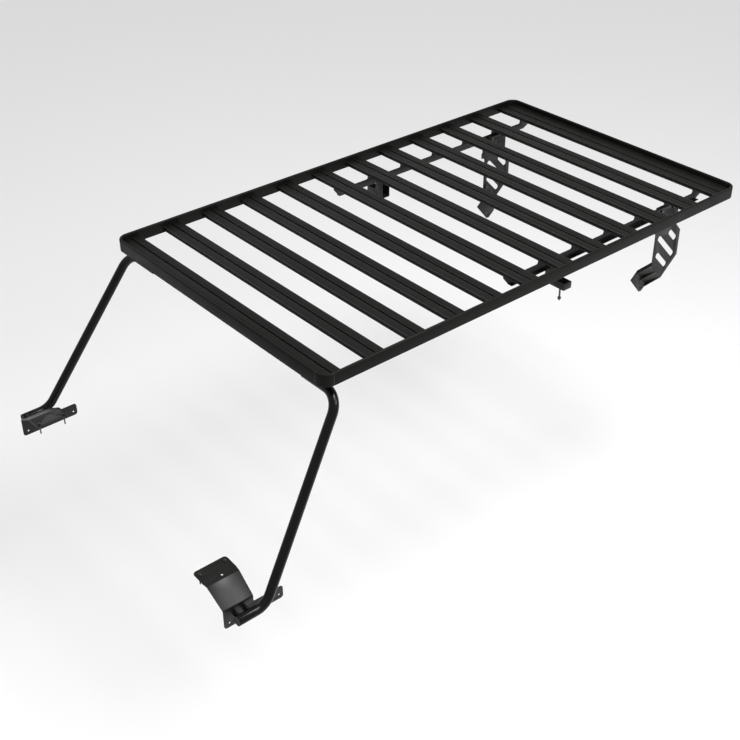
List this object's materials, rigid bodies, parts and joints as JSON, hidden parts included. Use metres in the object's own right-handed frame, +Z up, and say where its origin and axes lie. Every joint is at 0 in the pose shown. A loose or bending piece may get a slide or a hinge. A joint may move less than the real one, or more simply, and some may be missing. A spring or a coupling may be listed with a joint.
{
  "type": "roof cargo basket",
  "caption": "Flat slatted vehicle roof rack with a low rim, toothed foot rails, long tube front legs on bent feet, mid studs and slotted rear legs.",
  "frame": {"origin": "midway between the two roof studs, level with the undersides of the mid brackets", "axes": "+X to the right side of the tray, +Y towards the rear of the vehicle, away from the tube legs, +Z up"},
  "size_m": [1.646, 2.8908, 0.814],
  "materials": {
    "slat_powder_coat": "matte black powder coat on extruded aluminium",
    "rim_powder_coat": "matte black powder coat on extruded aluminium",
    "plate_powder_coat": "fine-textured black powder coat on steel sheet",
    "tube_powder_coat": "satin black powder coat on steel tube",
    "black_zinc_steel": "black zinc",
    "black_rubber": "moulded, matte"
  },
  "bodies": {
    "root": {"front_rim": "rim_powder_coat", "rear_rim": "rim_powder_coat", "left_rim": "rim_powder_coat", "right_rim": "rim_powder_coat", "front_left_corner": "rim_powder_coat", "front_right_corner": "rim_powder_coat", "rear_left_corner": "rim_powder_coat", "rear_right_corner": "rim_powder_coat", "slat_01": "slat_powder_coat", "slat_02": "slat_powder_coat", "slat_03": "slat_powder_coat", "slat_04": "slat_powder_coat", "slat_05": "slat_powder_coat", "slat_06": "slat_powder_coat", "slat_07": "slat_powder_coat", "slat_08": "slat_powder_coat", "slat_09": "slat_powder_coat", "slat_10": "slat_powder_coat", "slat_11": "slat_powder_coat", "slat_12": "slat_powder_coat", "rear_filler_strip": "rim_powder_coat", "filler_rivets": "black_zinc_steel", "slat_end_clips": "plate_powder_coat", "slat_end_bolts": "black_zinc_steel", "left_foot_rail": "plate_powder_coat", "right_foot_rail": "plate_powder_coat", "rail_t_bolts": "black_zinc_steel", "rail_washers": "black_zinc_steel", "rail_nuts": "black_zinc_steel", "left_front_leg": "tube_powder_coat", "right_front_leg": "tube_powder_coat", "front_leg_caps": "black_rubber", "left_leg_saddle": "tube_powder_coat", "right_leg_saddle": "tube_powder_coat", "saddle_t_bolts": "black_zinc_steel", "saddle_nuts": "black_zinc_steel", "left_front_foot": "plate_powder_coat", "right_front_foot": "plate_powder_coat", "front_foot_gussets": "tube_powder_coat", "front_foot_bolts": "black_zinc_steel", "front_foot_washers": "black_zinc_steel", "left_mid_bracket": "plate_powder_coat", "right_mid_bracket": "plate_powder_coat", "mid_bracket_bolts": "black_zinc_steel", "mid_bracket_nuts": "black_zinc_steel", "roof_studs": "black_zinc_steel", "stud_washers": "black_zinc_steel", "stud_nuts": "black_zinc_steel", "left_rear_leg": "plate_powder_coat", "right_rear_leg": "plate_powder_coat", "left_clamp_block": "plate_powder_coat", "right_clamp_block": "plate_powder_coat", "rear_leg_bolts": "black_zinc_steel", "rear_leg_nuts": "black_zinc_steel"}
  },
  "joints": []
}
